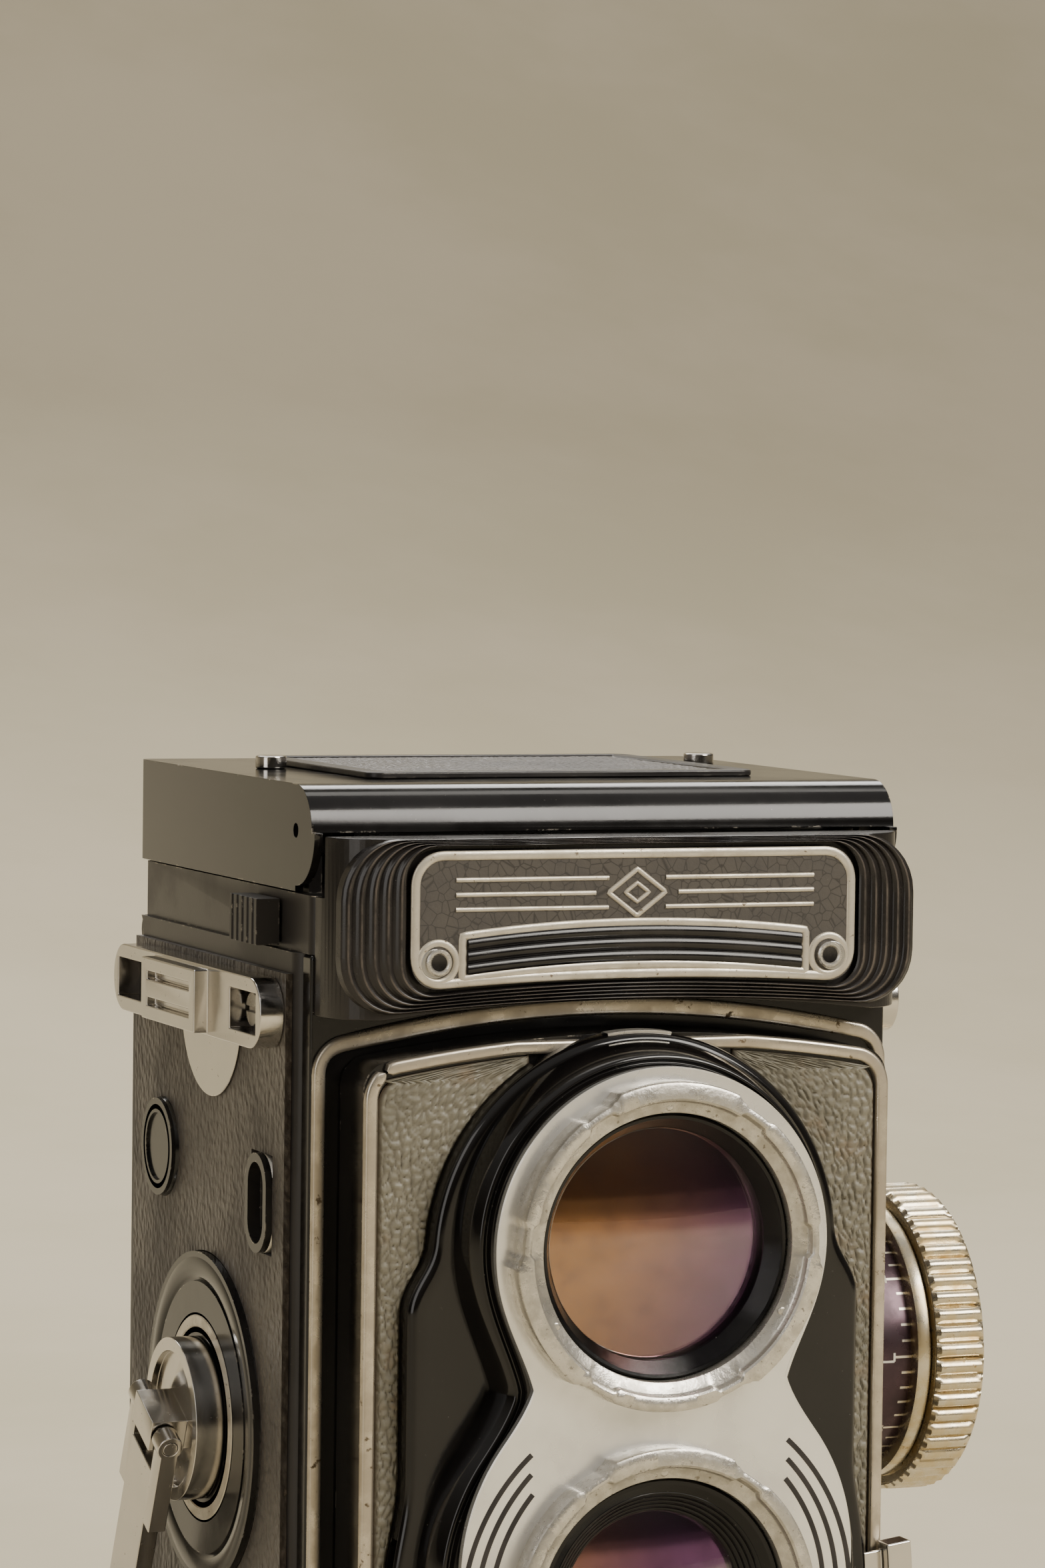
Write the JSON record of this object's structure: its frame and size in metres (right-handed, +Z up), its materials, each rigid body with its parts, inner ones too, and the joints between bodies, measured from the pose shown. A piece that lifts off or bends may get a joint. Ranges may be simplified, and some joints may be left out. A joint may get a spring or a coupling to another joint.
{
  "type": "twin lens reflex camera",
  "caption": "Box-shaped roll film camera with a viewing lens above a taking lens, folding waist-level hood, side focusing knob and film crank.",
  "frame": {"origin": "centre of the tripod socket's mouth, on the plane the feet stand on", "axes": "+Z up, the lenses look along -Y, +X is the focusing knob's side"},
  "size_m": [0.0991, 0.0862, 0.1406],
  "materials": {
    "black_casting": "black enamel, satin",
    "gloss_black": "gloss black enamel",
    "side_leather": "dark taupe leatherette, fine grain",
    "front_leather": "olive-grey leatherette, pebbled",
    "nickel": "worn warm nickel",
    "bright_plate": "satin bright plate",
    "chrome": "polished chrome",
    "dark_metal": "blackened metal",
    "mirror": "front-silvered mirror",
    "glass": "coated optical glass",
    "ground_glass": "ground glass",
    "steel": "plain steel",
    "brass": "plain brass",
    "housing": "grey-black enamel, worn to metal on the edges",
    "scale_drum": "dark anodised",
    "dial": "satin dial"
  },
  "bodies": {
    "body": {"body_casting": "black_casting", "side_leather": "side_leather", "front_frame": "black_casting", "front_frame_bead": "nickel", "nameplate_housing": "housing", "nameplate_panel": "nickel", "ribbed_cell_cover": "dark_metal", "pins_and_screws": "steel", "reflex_mirror": "mirror", "film_chamber": "dark_metal", "focus_bearings": "brass", "side_plates": "gloss_black", "strap_lugs": "chrome", "focusing_screen": "ground_glass", "hood_base": "gloss_black"},
    "front": {"front_board": "black_casting", "board_trim": "nickel", "board_leather": "front_leather", "lens_surround": "gloss_black", "face_plate": "bright_plate", "lens_bayonets": "nickel", "lens_barrels": "dark_metal", "lens_elements": "glass", "shutter_housing": "dark_metal"},
    "shutter_blade_1": {"shutter_blade_1": "steel"},
    "shutter_blade_2": {"shutter_blade_2": "steel"},
    "shutter_blade_3": {"shutter_blade_3": "steel"},
    "release": {"release_button": "chrome"},
    "speed_lever": {"speed_lever": "dark_metal"},
    "aperture_lever": {"aperture_lever": "dark_metal"},
    "focus_drive": {"focus_shaft": "steel", "focus_scale_drum": "scale_drum", "focus_knob": "nickel"},
    "crank": {"crank_hub": "chrome", "crank_gears": "brass"},
    "crank_arm": {"crank_arm": "chrome"},
    "crank_grip": {"crank_grip": "dark_metal"},
    "take_up": {"take_up_spool": "dark_metal", "take_up_drive": "brass"},
    "counter": {"counter_dial": "dial"},
    "supply": {"supply_spool": "dark_metal"},
    "upper_roller": {"upper_roller": "steel"},
    "lower_roller": {"lower_roller": "steel"},
    "take_up_knob": {"take_up_knob": "nickel"},
    "supply_knob": {"supply_knob": "nickel"},
    "door": {"back_door": "black_casting", "door_leather": "side_leather", "tripod_bush": "steel"},
    "pressure_plate": {"pressure_plate": "dark_metal"},
    "lock_ring": {"lock_ring": "chrome"},
    "lock_bolt": {"lock_bolt": "steel"},
    "lid": {"hood_lid": "gloss_black", "finder_flap": "gloss_black", "lid_fittings": "chrome"},
    "left_wall": {"left_hood_wall": "dark_metal"},
    "right_wall": {"right_hood_wall": "dark_metal"},
    "rear_wall": {"rear_hood_wall": "dark_metal"},
    "magnifier": {"magnifier_arm": "dark_metal", "magnifier_lens": "glass"},
    "hood_catch": {"hood_catch": "dark_metal"}
  },
  "joints": [
    {"name": "hood_lid_hinge", "type": "hinge", "parent": "body", "child": "lid", "pos_m": [0, -0.024, 0.1336], "axis": [1, 0, 0], "range_deg": [0, 90]},
    {"name": "left_wall_hinge", "type": "hinge", "parent": "body", "child": "left_wall", "pos_m": [-0.0322, 0, 0.1282], "axis": [0, -1, 0], "range_deg": [0, 90]},
    {"name": "right_wall_hinge", "type": "hinge", "parent": "body", "child": "right_wall", "pos_m": [0.0322, 0, 0.1282], "axis": [0, 1, 0], "range_deg": [0, 90]},
    {"name": "rear_wall_hinge", "type": "hinge", "parent": "body", "child": "rear_wall", "pos_m": [0, 0.0301, 0.1347], "axis": [-1, 0, 0], "range_deg": [0, 90]},
    {"name": "magnifier_hinge", "type": "hinge", "parent": "lid", "child": "magnifier", "pos_m": [0, 0.004, 0.1365], "axis": [1, 0, 0], "range_deg": [-90, 0]},
    {"name": "hood_catch_slide", "type": "slide", "parent": "body", "child": "hood_catch", "axis": [0, 1, 0], "range_m": [0, 0.0028], "stiffness_N_per_m": 200},
    {"name": "focus_knob_turn", "type": "hinge", "parent": "body", "child": "focus_drive", "pos_m": [0, -0.006, 0.0681], "axis": [1, 0, 0], "range_deg": [0, 300]},
    {"name": "front_slide", "type": "slide", "parent": "body", "child": "front", "axis": [0, -1, 0], "range_m": [0, 0.0068]},
    {"name": "crank_turn", "type": "hinge", "parent": "body", "child": "crank", "pos_m": [0, 0.003, 0.061], "axis": [-1, 0, 0], "continuous": true},
    {"name": "crank_arm_fold", "type": "hinge", "parent": "crank", "child": "crank_arm", "pos_m": [-0.0444, 0.003, 0.061], "axis": [0, 0.9085, 0.4179], "range_deg": [0, 165]},
    {"name": "crank_grip_spin", "type": "hinge", "parent": "crank_arm", "child": "crank_grip", "pos_m": [0, 0.01554, 0.03375], "axis": [1, 0, 0], "continuous": true},
    {"name": "take_up_spin", "type": "hinge", "parent": "body", "child": "take_up", "pos_m": [0, 0.02, 0.08198], "axis": [-1, 0, 0], "continuous": true},
    {"name": "counter_dial_turn", "type": "hinge", "parent": "body", "child": "counter", "pos_m": [0, -0.0025, 0.08374], "axis": [-1, 0, 0], "continuous": true},
    {"name": "supply_spin", "type": "hinge", "parent": "body", "child": "supply", "pos_m": [0, -0.009, 0.018], "axis": [-1, 0, 0], "continuous": true},
    {"name": "upper_roller_spin", "type": "hinge", "parent": "body", "child": "upper_roller", "pos_m": [0, 0.0288, 0.0792], "axis": [1, 0, 0], "continuous": true},
    {"name": "lower_roller_spin", "type": "hinge", "parent": "body", "child": "lower_roller", "pos_m": [0, 0.0288, 0.0108], "axis": [1, 0, 0], "continuous": true},
    {"name": "take_up_knob_pull", "type": "slide", "parent": "body", "child": "take_up_knob", "axis": [1, 0, 0], "range_m": [0, 0.005], "stiffness_N_per_m": 300},
    {"name": "supply_knob_pull", "type": "slide", "parent": "body", "child": "supply_knob", "axis": [1, 0, 0], "range_m": [0, 0.005], "stiffness_N_per_m": 300},
    {"name": "back_door_hinge", "type": "hinge", "parent": "body", "child": "door", "pos_m": [0, 0.0342, 0.1175], "axis": [1, 0, 0], "range_deg": [0, 140]},
    {"name": "pressure_plate_float", "type": "slide", "parent": "door", "child": "pressure_plate", "axis": [0, 1, 0], "range_m": [0, 0.0006], "stiffness_N_per_m": 500},
    {"name": "door_lock_turn", "type": "hinge", "parent": "door", "child": "lock_ring", "pos_m": [0, 0, 0], "axis": [0, 0, 1], "range_deg": [0, 90]},
    {"name": "door_bolt_slide", "type": "slide", "parent": "door", "child": "lock_bolt", "axis": [0, -1, 0], "range_m": [0, 0.003]},
    {"name": "shutter_release_press", "type": "slide", "parent": "front", "child": "release", "axis": [0, 1, 0], "range_m": [0, 0.0025], "stiffness_N_per_m": 300},
    {"name": "shutter_blade_1_swing", "type": "hinge", "parent": "front", "child": "shutter_blade_1", "pos_m": [0, 0, 0.0605], "axis": [0, 1, 0], "range_deg": [0, 42]},
    {"name": "shutter_blade_2_swing", "type": "hinge", "parent": "front", "child": "shutter_blade_2", "pos_m": [-0.01342, 0, 0.03725], "axis": [0, 1, 0], "range_deg": [0, 42]},
    {"name": "shutter_blade_3_swing", "type": "hinge", "parent": "front", "child": "shutter_blade_3", "pos_m": [0.01342, 0, 0.03725], "axis": [0, 1, 0], "range_deg": [0, 42]},
    {"name": "speed_lever_turn", "type": "hinge", "parent": "front", "child": "speed_lever", "pos_m": [0, 0, 0.045], "axis": [0, 1, 0], "range_deg": [-20, 20]},
    {"name": "aperture_lever_turn", "type": "hinge", "parent": "front", "child": "aperture_lever", "pos_m": [0, 0, 0.045], "axis": [0, 1, 0], "range_deg": [-20, 20]}
  ],
  "couplings": [
    {"joint": "left_wall_hinge", "follows": "hood_lid_hinge", "ratio": 1},
    {"joint": "right_wall_hinge", "follows": "hood_lid_hinge", "ratio": 1},
    {"joint": "rear_wall_hinge", "follows": "hood_lid_hinge", "ratio": 1},
    {"joint": "magnifier_hinge", "follows": "hood_lid_hinge", "ratio": -1},
    {"joint": "focus_knob_turn", "follows": "front_slide", "rad_per_m": 770},
    {"joint": "take_up_spin", "follows": "crank_turn", "ratio": -1.25},
    {"joint": "counter_dial_turn", "follows": "crank_turn", "ratio": -0.25806},
    {"joint": "door_lock_turn", "follows": "door_bolt_slide", "rad_per_m": 523.6},
    {"joint": "shutter_blade_1_swing", "follows": "shutter_release_press", "rad_per_m": 292.52},
    {"joint": "shutter_blade_2_swing", "follows": "shutter_release_press", "rad_per_m": 292.52},
    {"joint": "shutter_blade_3_swing", "follows": "shutter_release_press", "rad_per_m": 292.52}
  ]
}
